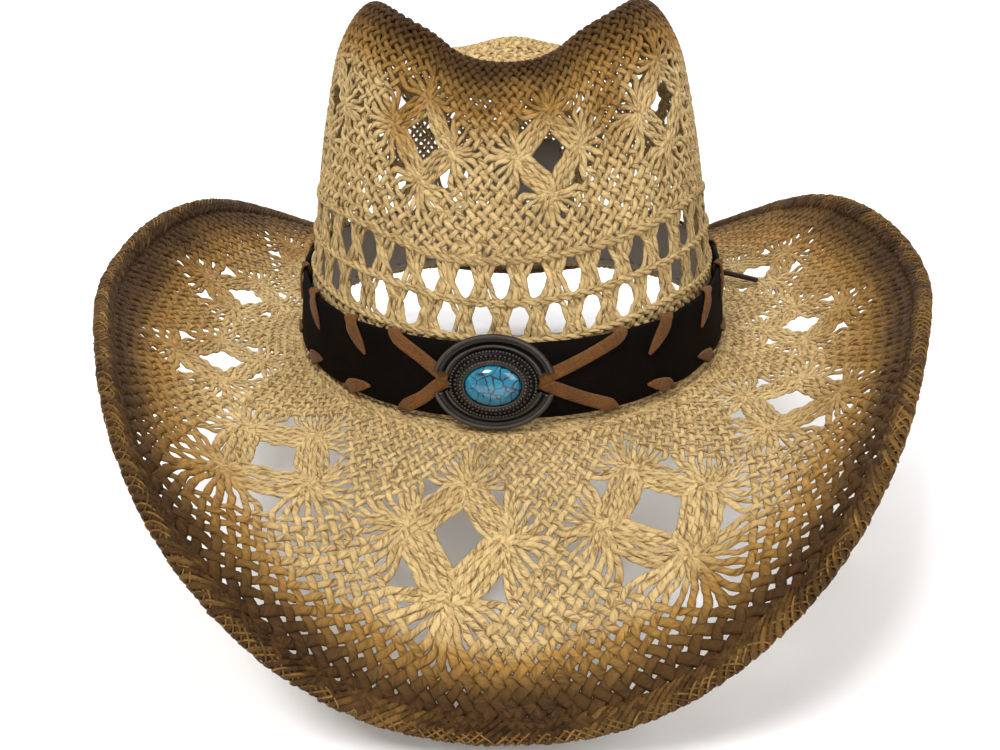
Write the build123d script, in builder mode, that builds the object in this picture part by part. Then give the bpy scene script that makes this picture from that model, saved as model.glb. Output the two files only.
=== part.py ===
from build123d import *
from math import acos, cos, degrees, exp, hypot, pi, radians, sin
import os

os.makedirs("parts", exist_ok=True)

# Frame: millimetres, +Z up, the front of the hat at -Y, origin at the centre of the head opening.
# Angles run round the hat from the front (0) by the +X side (90) to the back (180).

# ---- head opening and crown -------------------------------------------------------------
OPENING_HALF_WIDTH = 87.0
OPENING_HALF_LENGTH = 103.0
OPENING_SQUARENESS = 2.15
FRONT_DIP = 4.0
BACK_DIP = 9.5
CLOTH = 2.2
CREST_HEIGHTS = (116, 121, 132.5, 131.5, 123, 115, 108.5, 106, 109.5)
TOP_FLOOR = 96.0
PINCH_ANGLE = 28.0
PINCH_SPREAD = 9.5
# rise, half width, front reach, back reach, squareness, pinch depth, sink
CROWN_RINGS = (
    (0.00, 87.0, 103.0, 103.0, 2.15, 0.0, 0.00),
    (0.22, 84.0, 100.0, 101.5, 2.15, 0.0, 0.00),
    (0.45, 79.5, 95.0, 98.5, 2.2, 1.0, 0.00),
    (0.70, 73.5, 87.5, 93.0, 2.3, 4.5, 0.00),
    (0.90, 66.0, 79.5, 84.0, 2.4, 7.5, 0.00),
    (1.00, 54.0, 71.0, 73.0, 2.4, 6.0, 0.00),
    (1.00, 43.0, 61.0, 62.0, 2.3, 3.0, 0.35),
    (1.00, 26.0, 40.0, 41.0, 2.2, 0.0, 0.80),
    (1.00, 0.0, 0.0, 0.0, 2.2, 0.0, 1.00),
)
TOP_LEVEL = len(CROWN_RINGS) - 1

# ---- brim, values at equal steps from front to back ---------------------------------------
BRIM_WIDTHS = (108, 106, 91, 89, 89, 96, 92)
BRIM_START_ANGLES = (-30, -12, -10)
BRIM_END_ANGLES = (-46, 24, 64, 60, 52, -2, -30)
EDGE_BRAID = 6.0
EDGE_WIRE = 1.2
TUBE_STEPS = 8

# ---- sweatband and label ------------------------------------------------------------------
SWEATBAND_HEIGHT = 30.0
SWEATBAND_THICK = 1.2
SWEATBAND_START = 1.0
LABEL_WIDTH = 58.0
LABEL_THICK = 0.4
LABEL_LOW = 36.0
LABEL_HIGH = 66.0
STITCH_COUNT = 90
STITCH_LENGTH = 3.6
STITCH_RADIUS = 0.3
STITCH_HEIGHT = 4.0
STITCH_PLAY = 0.05

# ---- hatband --------------------------------------------------------------------------------
BAND_START = 2.4
BAND_HEIGHT = 27.0
BAND_GAP = 1.7
BAND_THICK = 2.0
LACE_WIDTH = 4.8
LACE_THICK = 1.0
LACE_INNER_GAP = 0.5
STITCH_ANGLES = range(40, 167, 18)
STITCH_REACH = 7.0
STITCH_SLANT = 15.0
EDGE_PLAY = 0.55
EDGE_ROUND = 0.9
WRAP_REACH = 2.5
CROSS_SLANT = 20.0
CROSS_TOP_ANGLE = 27.0
CROSS_LOW_ANGLE = 24.0
CROSS_START = 18.5

# ---- concho -----------------------------------------------------------------------------------
CONCHO_HEIGHT = 12.2
CONCHO_ANGLE = -3.0
CONCHO_WIDTH = 43.5
CONCHO_TALL = 35.0
PLATE_THICK = 1.4
NOTCH_DEPTH = 5.6
NOTCH_HEIGHT = 9.5
GROOVE_WIDTH = 34.0
GROOVE_TALL = 27.4
GROOVE_WIDE = 0.9
GROOVE_DEEP = 0.6
MEDALLION_WIDTH = 31.0
MEDALLION_TALL = 25.0
MEDALLION_THICK = 2.2
BEZEL_WIDTH = 23.6
BEZEL_TALL = 18.4
BEZEL_THICK = 1.6
STONE_WIDTH = 20.0
STONE_TALL = 15.0
STONE_DOME = 4.2
STONE_PLAY = 0.05

# ---- tie at the back ----------------------------------------------------------------------------
TIE_DIAMETER = 2.6
KNOT_WIDTH = 13.0
KNOT_TALL = 9.0
KNOT_DEEP = 6.0
KNOT_CORNER = 2.5
KNOT_ROUND = 1.8
KNOT_LEVEL = 14.0
TAIL_PLAY = 0.6
# angle from the front, share of the brim, lift above the brim
RIGHT_TAIL = ((160, 0.13, 2.0), (138, 0.15, 1.6), (117, 0.2, 3.6), (105.5, 0.34, 1.0))
LEFT_TAIL = ((160, 0.13, 2.0), (140, 0.17, 1.6), (125, 0.3, 1.2))

RING_POINTS = 48


def around(values, angle):
    """Smooth even curve round the hat through values at equal steps from front to back."""
    last = len(values) - 1
    total = 0.0
    for order in range(last + 1):
        share = sum(
            value * (0.5 if step in (0, last) else 1.0) * cos(pi * order * step / last)
            for step, value in enumerate(values)
        )
        total += share * 2 / last * cos(order * angle) * (0.5 if order in (0, last) else 1.0)
    return total


def brim_line(angle):
    """Height of the line where the crown meets the brim."""
    return -(FRONT_DIP if cos(angle) > 0 else BACK_DIP) * cos(angle) ** 2


def oval(angle, half_width, front, back, squareness):
    """Point of a slightly squared oval, reaching front and back by different lengths."""
    side = sin(angle)
    along = -cos(angle)
    scale = (abs(side) ** squareness + abs(along) ** squareness) ** (-1 / squareness)
    return half_width * side * scale, (front + back) / 2 * along * scale + (back - front) / 2


def crown_ring(ring, angle):
    """Point of one driving ring of the crown."""
    rise, half_width, front, back, squareness, pinch, sink = CROWN_RINGS[ring]
    x, y = oval(angle, half_width, front, back, squareness)
    off_front = degrees(acos(max(-1.0, min(1.0, cos(angle)))))
    dent = pinch * exp(-(((off_front - PINCH_ANGLE) / PINCH_SPREAD) ** 2))
    reach = max(hypot(x, y), 1.0)
    z = brim_line(angle) * (1 - rise) + around(CREST_HEIGHTS, angle) * rise
    return Vector(x * (1 - dent / reach), y * (1 - dent / reach), z * (1 - sink) + TOP_FLOOR * sink)


def crown(angle, level):
    """Outer skin of the crown: level 0 at the brim line, TOP_LEVEL at the middle of the top."""
    ring = min(int(level), TOP_LEVEL - 1)
    t = level - ring
    here = crown_ring(ring, angle)
    above = crown_ring(ring + 1, angle)
    below = crown_ring(ring - 1, angle) if ring else here * 2 - above
    beyond = crown_ring(ring + 2, angle) if ring + 2 <= TOP_LEVEL else crown_ring(ring, angle + pi)
    slope = (above - below) * t
    bend = (below * 2 - here * 5 + above * 4 - beyond) * t**2
    twist = (here * 3 - below - above * 3 + beyond) * t**3
    return (here * 2 + slope + bend + twist) * 0.5


def brim(angle, share):
    """Upper skin of the brim: share 0 at the crown and 1 at the edge, a circular arc outward."""
    opening = (OPENING_HALF_WIDTH, OPENING_HALF_LENGTH, OPENING_HALF_LENGTH, OPENING_SQUARENESS)
    x, y = oval(angle, *opening)
    ahead = oval(angle + 0.001, *opening)
    behind = oval(angle - 0.001, *opening)
    along = Vector(ahead[0] - behind[0], ahead[1] - behind[1], 0).normalized()
    start = radians(around(BRIM_START_ANGLES, angle))
    turn = radians(around(BRIM_END_ANGLES, angle)) - start
    radius = around(BRIM_WIDTHS, angle) / turn
    out = radius * (sin(start + turn * share) - sin(start))
    up = radius * (cos(start) - cos(start + turn * share))
    return Vector(x + along.Y * out, y - along.X * out, brim_line(angle) + up)


def skin(surface, angle, share, offset=0.0):
    """Point a given distance outside (upper side of) a surface."""
    step = 0.002
    low = max(share - step, 0.0)
    round_way = surface(angle + step, share) - surface(angle - step, share)
    up_way = surface(angle, share + step) - surface(angle, low)
    side = -1 if surface is brim else 1
    return surface(angle, share) + round_way.cross(up_way).normalized() * side * offset


def wall(angle, height, offset=0.0):
    """Point on the crown wall a given height above the brim line."""
    rise = crown_ring(1, angle).Z - brim_line(angle)
    return skin(crown, angle, height / rise, offset)


def ring(place, count=RING_POINTS):
    """Closed smooth wire through place(angle) all the way round."""
    return Wire([Edge.make_spline([place(2 * pi * i / count) for i in range(count)], periodic=True)])


def closed_skin(*wire_groups):
    """Solid bounded by the lofts through each group of rings, the groups sharing end rings."""
    faces = []
    for group in wire_groups:
        faces += Shell.make_loft(group, ruled=len(group) == 2).faces()
    return Solid(Shell(faces))


def layer(surface, shares, outer, inner):
    """Closed band of cloth between two offsets of a surface."""
    outside = [ring(lambda a, s=s: skin(surface, a, s, outer)) for s in shares]
    inside = [ring(lambda a, s=s: skin(surface, a, s, inner)) for s in shares]
    return closed_skin(outside, inside, [outside[0], inside[0]], [outside[-1], inside[-1]])


def wall_band(low, high, outer, inner):
    """Closed band standing against the crown wall."""
    outside = [ring(lambda a, h=h: wall(a, h, outer)) for h in (low, high)]
    inside = [ring(lambda a, h=h: wall(a, h, inner)) for h in (low, high)]
    return closed_skin(outside, inside, [outside[0], inside[0]], [outside[1], inside[1]])


# ---- woven crown ------------------------------------------------------------------------------
crown_levels = [step / 2 for step in range(2 * TOP_LEVEL)] + [TOP_LEVEL - 0.25, TOP_LEVEL - 0.1]
outer_rings = [ring(lambda a, v=v: skin(crown, a, v)) for v in crown_levels]
inner_rings = [ring(lambda a, v=v: skin(crown, a, v, -CLOTH)) for v in crown_levels]
middle = crown_ring(TOP_LEVEL, 0)
outer_tip = Vertex(middle.X, middle.Y, middle.Z)
inner_tip = Vertex(middle.X, middle.Y, middle.Z - CLOTH)
with BuildPart() as woven_crown:
    add(
        closed_skin(
            outer_rings + [outer_tip],
            inner_rings + [inner_tip],
            [outer_rings[0], inner_rings[0]],
        )
    )
woven_crown.part.label = "woven_crown"
export_step(woven_crown.part, "parts/woven_crown.step")


# ---- woven brim ---------------------------------------------------------------------------------
cloth_end = 1 - EDGE_BRAID / 2 / max(BRIM_WIDTHS)
brim_shares = [cloth_end * step / 6 for step in range(7)]
with BuildPart() as woven_brim:
    add(layer(brim, brim_shares, 0.0, -CLOTH))
woven_brim.part.label = "woven_brim"
export_step(woven_brim.part, "parts/woven_brim.step")


# ---- braided edge and its wire -------------------------------------------------------------------
def edge_tube(radius):
    """Round rod carried round the edge of the brim."""

    def around_section(turn):
        return ring(lambda a: edge_point(a, radius, turn))

    rings = [around_section(2 * pi * step / TUBE_STEPS) for step in range(TUBE_STEPS)]
    half = TUBE_STEPS // 2
    return closed_skin(rings[: half + 1], rings[half:] + [rings[0]])


def edge_point(angle, radius, turn):
    """Point of the rod at an angle round the hat and a turn round its section."""
    centre = skin(brim, angle, 1.0, -CLOTH / 2)
    over = (skin(brim, angle, 1.0) - centre).normalized()
    ahead = skin(brim, angle + 0.002, 1.0, -CLOTH / 2) - centre
    outward = ahead.cross(over).normalized()
    return centre + outward * radius * cos(turn) + over * radius * sin(turn)


with BuildPart() as edge_braid:
    add(edge_tube(EDGE_BRAID / 2))
edge_braid.part.label = "edge_braid"
export_step(edge_braid.part, "parts/edge_braid.step")

with BuildPart() as edge_wire:
    add(edge_tube(EDGE_WIRE / 2))
edge_wire.part.label = "edge_wire"
export_step(edge_wire.part, "parts/edge_wire.step")

# ---- sweatband, its stitching and the inner label --------------------------------------------------
sweatband_face = -CLOTH - 0.1
sweatband_back = sweatband_face - SWEATBAND_THICK
sweatband_end = SWEATBAND_START + SWEATBAND_HEIGHT
with BuildPart() as sweatband:
    add(wall_band(SWEATBAND_START, sweatband_end, sweatband_face, sweatband_back))
sweatband.part.label = "sweatband"
export_step(sweatband.part, "parts/sweatband.step")

stitch_planes = []
for step in range(STITCH_COUNT):
    angle = 2 * pi * step / STITCH_COUNT
    here = wall(angle, STITCH_HEIGHT, sweatband_back - STITCH_RADIUS - STITCH_PLAY)
    run = wall(angle + 0.01, STITCH_HEIGHT, 0) - wall(angle - 0.01, STITCH_HEIGHT, 0)
    stitch_planes.append(Plane(origin=here, z_dir=run))
with BuildPart() as sweatband_stitching:
    with Locations(*stitch_planes):
        Cylinder(STITCH_RADIUS, STITCH_LENGTH)
sweatband_stitching.part.label = "sweatband_stitching"
export_step(sweatband_stitching.part, "parts/sweatband_stitching.step")

label_face = -CLOTH - 0.1
with BuildPart() as inner_label:
    add(wall_band(LABEL_LOW, LABEL_HIGH, label_face, label_face - LABEL_THICK))
    with Locations((0, OPENING_HALF_LENGTH, LABEL_HIGH)):
        Box(LABEL_WIDTH, OPENING_HALF_LENGTH, 2 * LABEL_HIGH, mode=Mode.INTERSECT)
inner_label.part.label = "inner_label"
export_step(inner_label.part, "parts/inner_label.step")

# ---- leather strap ----------------------------------------------------------------------------------
band_face = BAND_GAP + BAND_THICK
band_end = BAND_START + BAND_HEIGHT
with BuildPart() as leather_strap:
    add(wall_band(BAND_START, band_end, band_face, BAND_GAP))
leather_strap.part.label = "leather_strap"
export_step(leather_strap.part, "parts/leather_strap.step")

concho_turn = radians(CONCHO_ANGLE)
concho_level = CONCHO_HEIGHT - brim_line(concho_turn)
concho_seat = wall(concho_turn, concho_level, band_face)
concho_out = wall(concho_turn, concho_level, band_face + 1) - concho_seat
concho_run = wall(concho_turn + 0.01, concho_level) - wall(concho_turn - 0.01, concho_level)
seat_plane = Plane(origin=concho_seat, x_dir=concho_run, z_dir=concho_out)
face_plane = seat_plane.offset(PLATE_THICK)
top_plane = seat_plane.offset(PLATE_THICK + MEDALLION_THICK)


# ---- laces --------------------------------------------------------------------------------------------
def edge_wrap(angle, edge, side, reach, slant):
    """Lace folded over one edge of the strap, side +1 at the top and -1 below."""
    seat = wall(angle, edge)
    normal = wall(angle, edge, 1.0) - seat
    rise = (wall(angle, edge + 1.0) - seat) * side
    leaning = rise.rotate(Axis((0, 0, 0), normal), slant)
    turned = Plane(origin=seat, x_dir=normal, z_dir=normal.cross(leaning))
    outside = band_face + LACE_THICK
    inside = LACE_INNER_GAP + LACE_THICK
    with BuildPart(mode=Mode.PRIVATE) as wrap:
        with BuildSketch(turned) as profile:
            with Locations((LACE_INNER_GAP, LACE_THICK + EDGE_PLAY)):
                tall = reach + LACE_THICK + EDGE_PLAY
                Rectangle(outside - LACE_INNER_GAP, tall, align=(Align.MIN, Align.MAX))
            fillet(profile.vertices().group_by(Axis.Y)[-1], EDGE_ROUND)
            with Locations((inside, EDGE_PLAY)):
                hollow = (band_face - inside, reach + EDGE_PLAY)
                Rectangle(*hollow, align=(Align.MIN, Align.MAX), mode=Mode.SUBTRACT)
        extrude(amount=LACE_WIDTH / 2, both=True)
    return wrap.part


def whipstitches(edge, side):
    """Slanting stitches over one edge of the strap, on both sides of the hat."""
    wraps = []
    for place in STITCH_ANGLES:
        for hand in (1, -1):
            angle = radians(hand * place)
            wraps.append(edge_wrap(angle, edge, side, STITCH_REACH, side * hand * STITCH_SLANT))
    return wraps


def cross_lace(hand):
    """V of flat lace on the face of the strap, from the concho to both edges."""
    top = wall(radians(hand * CROSS_TOP_ANGLE), band_end)
    low = wall(radians(hand * CROSS_LOW_ANGLE), BAND_START)
    start = concho_seat.X + hand * CROSS_START
    with BuildPart(mode=Mode.PRIVATE) as strips:
        with BuildSketch(Plane.XZ):
            with BuildLine():
                Polyline((top.X, top.Z), (start, CONCHO_HEIGHT), (low.X, low.Z))
            trace(line_width=LACE_WIDTH)
        extrude(amount=2 * OPENING_HALF_LENGTH)
        skin_band = wall_band(BAND_START, band_end, band_face + LACE_THICK, band_face)
        add(skin_band, mode=Mode.INTERSECT)
    ends = [
        edge_wrap(radians(hand * CROSS_TOP_ANGLE), band_end, 1, WRAP_REACH, hand * CROSS_SLANT),
        edge_wrap(radians(hand * CROSS_LOW_ANGLE), BAND_START, -1, WRAP_REACH, -hand * CROSS_SLANT),
    ]
    return [strips.part, *ends]


with BuildPart() as top_whipstitches:
    add(whipstitches(band_end, 1))
top_whipstitches.part.label = "top_whipstitches"
export_step(top_whipstitches.part, "parts/top_whipstitches.step")

with BuildPart() as lower_whipstitches:
    add(whipstitches(BAND_START, -1))
lower_whipstitches.part.label = "lower_whipstitches"
export_step(lower_whipstitches.part, "parts/lower_whipstitches.step")

with BuildPart() as cross_lace_right:
    add(cross_lace(1))
cross_lace_right.part.label = "cross_lace_right"
export_step(cross_lace_right.part, "parts/cross_lace_right.step")

with BuildPart() as cross_lace_left:
    add(cross_lace(-1))
cross_lace_left.part.label = "cross_lace_left"
export_step(cross_lace_left.part, "parts/cross_lace_left.step")

# ---- concho ----------------------------------------------------------------------------------------------
with BuildPart() as concho_plate:
    with BuildSketch(seat_plane):
        Ellipse(CONCHO_WIDTH / 2, CONCHO_TALL / 2)
        with Locations((CONCHO_WIDTH / 2, 0), (-CONCHO_WIDTH / 2, 0)):
            Rectangle(2 * NOTCH_DEPTH, NOTCH_HEIGHT, mode=Mode.SUBTRACT)
    extrude(amount=PLATE_THICK)
    with BuildSketch(face_plane):
        Ellipse(GROOVE_WIDTH / 2 + GROOVE_WIDE, GROOVE_TALL / 2 + GROOVE_WIDE)
        Ellipse(GROOVE_WIDTH / 2, GROOVE_TALL / 2, mode=Mode.SUBTRACT)
    extrude(amount=-GROOVE_DEEP, mode=Mode.SUBTRACT)
concho_plate.part.label = "concho_plate"
export_step(concho_plate.part, "parts/concho_plate.step")

with BuildPart() as concho_medallion:
    with BuildSketch(face_plane):
        Ellipse(MEDALLION_WIDTH / 2, MEDALLION_TALL / 2)
    extrude(amount=MEDALLION_THICK)
    fillet(concho_medallion.faces().sort_by(Axis(seat_plane.origin, seat_plane.z_dir))[-1].edges(), 0.8)
concho_medallion.part.label = "concho_medallion"
export_step(concho_medallion.part, "parts/concho_medallion.step")

with BuildPart() as stone_bezel:
    with BuildSketch(top_plane):
        Ellipse(BEZEL_WIDTH / 2, BEZEL_TALL / 2)
        Ellipse(STONE_WIDTH / 2, STONE_TALL / 2, mode=Mode.SUBTRACT)
    extrude(amount=BEZEL_THICK)
stone_bezel.part.label = "stone_bezel"
export_step(stone_bezel.part, "parts/stone_bezel.step")

with BuildPart() as dome:
    Sphere(1.0)
    scale(by=(STONE_WIDTH / 2 - STONE_PLAY, STONE_TALL / 2 - STONE_PLAY, STONE_DOME))
    split(bisect_by=Plane.XY)
with BuildPart() as turquoise_stone:
    with Locations(top_plane):
        add(dome.part)
turquoise_stone.part.label = "turquoise_stone"
export_step(turquoise_stone.part, "parts/turquoise_stone.step")

# ---- knot and tails of the tie ------------------------------------------------------------------------------
knot_seat = wall(pi, KNOT_LEVEL, band_face)
knot_plane = Plane(origin=knot_seat, x_dir=(-1, 0, 0), z_dir=wall(pi, KNOT_LEVEL, band_face + 1) - knot_seat)
with BuildPart() as tie_knot:
    with BuildSketch(knot_plane):
        RectangleRounded(KNOT_WIDTH, KNOT_TALL, KNOT_CORNER)
    extrude(amount=KNOT_DEEP)
    fillet(tie_knot.faces().sort_by(Axis(knot_plane.origin, knot_plane.z_dir))[-1].edges(), KNOT_ROUND)
tie_knot.part.label = "tie_knot"
export_step(tie_knot.part, "parts/tie_knot.step")


def tie_route(hand, stations):
    """Corners of a tie tail: out of the knot, then over the brim."""
    exit_point = knot_plane.from_local_coords(Vector(-hand * (KNOT_WIDTH / 2 + TAIL_PLAY), 0, KNOT_DEEP / 2))
    corners = [exit_point]
    for place, share, lift in stations:
        corners.append(skin(brim, radians(hand * place), share) + Vector(0, 0, TIE_DIAMETER / 2 + lift))
    return corners


def bend_radii(corners):
    """Radius at each inner corner, as large as the shorter run allows."""
    radii = []
    for before, here, after in zip(corners, corners[1:], corners[2:]):
        turn = (here - before).get_angle(after - here)
        shorter = min((here - before).length, (after - here).length)
        radii.append(round(0.45 * shorter / max(sin(radians(turn / 2)) / cos(radians(turn / 2)), 0.01), 1))
    return radii


def tie_tail(corners):
    """Round cord along filleted corners."""
    with BuildPart(mode=Mode.PRIVATE) as cord:
        with BuildLine() as route:
            FilletPolyline(*corners, radius=bend_radii(corners))
        with BuildSketch(Plane(origin=route.line @ 0, z_dir=route.line % 0)):
            Circle(TIE_DIAMETER / 2)
        sweep(path=route.line)
    length = route.wires()[0].length
    print("tie", [tuple(round(n, 2) for n in corner) for corner in corners])
    print("radii", bend_radii(corners), "length", round(length, 1), "volume", round(cord.part.volume, 1))
    return cord.part


with BuildPart() as tie_tail_right:
    add(tie_tail(tie_route(1, RIGHT_TAIL)))
tie_tail_right.part.label = "tie_tail_right"
export_step(tie_tail_right.part, "parts/tie_tail_right.step")

with BuildPart() as tie_tail_left:
    add(tie_tail(tie_route(-1, LEFT_TAIL)))
tie_tail_left.part.label = "tie_tail_left"
export_step(tie_tail_left.part, "parts/tie_tail_left.step")
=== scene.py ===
import bpy
import math
import numpy as np
from mathutils import Matrix, Vector


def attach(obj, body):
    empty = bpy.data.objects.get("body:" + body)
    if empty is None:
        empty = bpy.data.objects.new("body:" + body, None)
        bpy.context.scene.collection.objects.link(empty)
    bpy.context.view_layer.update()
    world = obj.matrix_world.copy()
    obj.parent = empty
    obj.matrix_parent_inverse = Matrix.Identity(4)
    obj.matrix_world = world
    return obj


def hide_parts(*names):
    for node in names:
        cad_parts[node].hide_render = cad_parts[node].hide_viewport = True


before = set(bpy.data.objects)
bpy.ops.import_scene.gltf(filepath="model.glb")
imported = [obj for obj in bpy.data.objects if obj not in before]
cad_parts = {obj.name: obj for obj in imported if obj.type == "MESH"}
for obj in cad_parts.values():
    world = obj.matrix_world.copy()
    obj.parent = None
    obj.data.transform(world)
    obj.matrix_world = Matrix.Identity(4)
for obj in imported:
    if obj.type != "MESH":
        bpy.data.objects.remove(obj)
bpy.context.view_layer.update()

# Lengths are in millimetres until a mesh, a cord or the camera is made. The front of the hat is at -Y.
# Angles run round the hat from the front (0) by the +X side to the back (pi).
MM = 0.001
TURN = 2 * np.pi

# -------------------------------- camera
CAMERA_AZIMUTH, CAMERA_ELEVATION, CAMERA_ROLL = 1.9, 23.6, -0.9
CAMERA_TARGET, CAMERA_DISTANCE = (-2.5, -103.0, 14.3), 370.0
SENSOR_WIDTH, LENS = 36.0, 38.16
CLIP_NEAR, CLIP_FAR = 0.01, 20


def make_camera():
    az, el, roll = (math.radians(v) for v in (CAMERA_AZIMUTH, CAMERA_ELEVATION, CAMERA_ROLL))
    back = Vector((math.sin(az) * math.cos(el), -math.cos(az) * math.cos(el), math.sin(el)))
    right = Vector((0, 0, 1)).cross(back).normalized()
    up = back.cross(right)
    r = right * math.cos(roll) + up * math.sin(roll)
    u = up * math.cos(roll) - right * math.sin(roll)
    place = Vector(CAMERA_TARGET) * MM + back * CAMERA_DISTANCE * MM
    data = bpy.data.cameras.new("camera")
    data.sensor_width, data.lens = SENSOR_WIDTH, LENS
    data.clip_start, data.clip_end = CLIP_NEAR, CLIP_FAR
    cam = bpy.data.objects.new("camera", data)
    rows = [(r[k], u[k], back[k], place[k]) for k in range(3)]
    cam.matrix_world = Matrix(rows + [(0, 0, 0, 1)])
    bpy.context.scene.collection.objects.link(cam)
    bpy.context.scene.camera = cam


make_camera()


# -------------------------------- materials
def nodes_of(name):
    mat = bpy.data.materials.new(name)
    mat.use_nodes = True
    return mat, mat.node_tree, mat.node_tree.nodes["Principled BSDF"]


def node(tree, kind, **values):
    n = tree.nodes.new(kind)
    for key, value in values.items():
        setattr(n, key, value)
    return n


def set_inputs(n, **values):
    """Constants on sockets; an underscore stands for a space in the socket's name."""
    for key, value in values.items():
        n.inputs[key.replace("_", " ")].default_value = value


def feed(tree, socket, value):
    """Give a socket a number, a colour or the output of another node."""
    if isinstance(value, (int, float)):
        socket.default_value = value
    elif isinstance(value, tuple):
        socket.default_value = (*value, 1)
    else:
        tree.links.new(value, socket)


def grey(value):
    return (value, value, value)


def ramp(tree, source, stops):
    n = tree.nodes.new("ShaderNodeValToRGB")
    elements = n.color_ramp.elements
    elements.remove(elements[-1])
    elements[0].position, elements[0].color = stops[0][0], (*stops[0][1], 1)
    for position, colour in stops[1:]:
        elements.new(position).color = (*colour, 1)
    tree.links.new(source, n.inputs[0])
    return n.outputs[0]


def noise(tree, vector, scale, detail, roughness=0.5):
    n = tree.nodes.new("ShaderNodeTexNoise")
    set_inputs(n, Scale=scale, Detail=detail, Roughness=roughness)
    tree.links.new(vector, n.inputs["Vector"])
    return n


def object_space(tree):
    return tree.nodes.new("ShaderNodeTexCoord").outputs["Object"]


def bump(tree, bsdf, height, strength, distance):
    n = tree.nodes.new("ShaderNodeBump")
    set_inputs(n, Strength=strength, Distance=distance)
    tree.links.new(height, n.inputs["Height"])
    tree.links.new(n.outputs[0], bsdf.inputs["Normal"])


def mix(tree, factor, a, b, blend="MIX"):
    n = node(tree, "ShaderNodeMix", data_type="RGBA", blend_type=blend)
    for index, value in ((0, factor), (6, a), (7, b)):
        feed(tree, n.inputs[index], value)
    return n.outputs[2]


def math_node(tree, operation, a, b):
    n = node(tree, "ShaderNodeMath", operation=operation)
    feed(tree, n.inputs[0], a)
    feed(tree, n.inputs[1], b)
    return n.outputs[0]


def straw_material(name, light, dark, stain):
    """Twisted paper straw: fibres along the strand, with painted shade in their bumped-down grooves and a
    painted highlight on their raised ridges, a tone for each strand and an airbrushed brown stain.
    """
    mat, tree, bsdf = nodes_of(name)
    strand = tree.nodes.new("ShaderNodeSeparateXYZ")
    tree.links.new(node(tree, "ShaderNodeUVMap", uv_map="strand").outputs[0], strand.inputs[0])
    tone = node(tree, "ShaderNodeAttribute", attribute_name="tone").outputs["Fac"]
    stained = node(tree, "ShaderNodeAttribute", attribute_name="stain").outputs["Fac"]
    twist = math_node(tree, "MULTIPLY", strand.outputs[0], 0.10)
    across = math_node(tree, "MULTIPLY", math_node(tree, "ADD", strand.outputs[1], twist), 5.0)
    along = math_node(tree, "MULTIPLY", strand.outputs[0], 0.22)
    own_place = math_node(tree, "MULTIPLY", tone, 57.0)
    place = tree.nodes.new("ShaderNodeCombineXYZ")
    for socket, value in zip(place.inputs, (along, across, own_place)):
        tree.links.new(value, socket)
    fibre = noise(tree, place.outputs[0], 1.0, 4.0, 0.7).outputs["Fac"]
    patch = noise(tree, object_space(tree), 38.0, 3.0).outputs["Fac"]
    # Lighter colour for the raised fibres: a painted highlight.
    painted_highlight = tuple(c * 1.28 for c in light)
    # The fibre noise also sets the bump's height. This ramp paints its low grooves dark as painted shade and
    # its high ridges lighter as a painted highlight, on top of the straw's own streaks.
    base = ramp(tree, fibre, [(0.36, dark), (0.49, light), (0.66, painted_highlight)])
    colour = mix(tree, math_node(tree, "MULTIPLY", tone, 0.32), base, dark)
    uneven = math_node(tree, "MULTIPLY", math_node(tree, "SUBTRACT", patch, 0.5), 0.5)
    soaked = math_node(tree, "ADD", 0.72, math_node(tree, "MULTIPLY", fibre, 0.5))
    level = math_node(tree, "MULTIPLY", math_node(tree, "ADD", stained, uneven), soaked)
    wash = tuple(a * k for a, k in zip(light, (0.46, 0.33, 0.15)))
    # The stain coat gets the same treatment: painted shade in the fibre grooves (x0.5) and a painted
    # highlight on the ridges (x1.6).
    grain = ramp(tree, fibre, [(0.36, grey(0.5)), (0.5, grey(1.05)), (0.66, grey(1.6))])
    for low, high, coat in ((0.05, 0.5, wash), (0.42, 0.98, stain)):
        cut = node(tree, "ShaderNodeMapRange", interpolation_type="SMOOTHSTEP")
        for index, value in enumerate((level, low, high)):
            feed(tree, cut.inputs[index], value)
        coated = mix(tree, 1.0, grain, coat, "MULTIPLY")
        colour = mix(tree, math_node(tree, "MULTIPLY", cut.outputs[0], 0.94), colour, coated)
    tree.links.new(colour, bsdf.inputs["Base Color"])
    set_inputs(bsdf, Roughness=0.62, Specular_IOR_Level=0.15)
    bump(tree, bsdf, fibre, 1.0, 0.0011)
    return mat


def hide_material(name, light, dark, rough, grain, depth, sheen, spec):
    """Leather, suede or thread: fine grain, slow patches and a soft sheen."""
    mat, tree, bsdf = nodes_of(name)
    fine = noise(tree, object_space(tree), grain, 5.0, 0.7).outputs["Fac"]
    slow = noise(tree, object_space(tree), 60.0, 4.0).outputs["Fac"]
    patches = ramp(tree, slow, [(0.3, dark), (0.7, light)])
    specks = ramp(tree, fine, [(0.35, grey(0.55)), (0.7, grey(1.25))])
    tree.links.new(mix(tree, 1.0, patches, specks, "MULTIPLY"), bsdf.inputs["Base Color"])
    set_inputs(bsdf, Roughness=rough, Specular_IOR_Level=spec, Sheen_Weight=sheen, Sheen_Roughness=0.4)
    bump(tree, bsdf, fine, 0.6, depth)
    return mat


def metal_material(name, high, low):
    """Antiqued cast metal: dark in the hollows, rubbed on the high spots."""
    mat, tree, bsdf = nodes_of(name)
    pits = noise(tree, object_space(tree), 420.0, 6.0, 0.65).outputs["Fac"]
    pointed = tree.nodes.new("ShaderNodeNewGeometry").outputs["Pointiness"]
    edge = ramp(tree, pointed, [(0.48, grey(0)), (0.60, grey(1))])
    worn = math_node(tree, "MULTIPLY", edge, math_node(tree, "ADD", pits, 0.25))
    tree.links.new(mix(tree, worn, low, high), bsdf.inputs["Base Color"])
    tree.links.new(ramp(tree, pits, [(0.3, grey(0.34)), (0.7, grey(0.55))]), bsdf.inputs["Roughness"])
    set_inputs(bsdf, Metallic=0.85)
    bump(tree, bsdf, pits, 0.4, 0.0002)
    return mat


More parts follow.
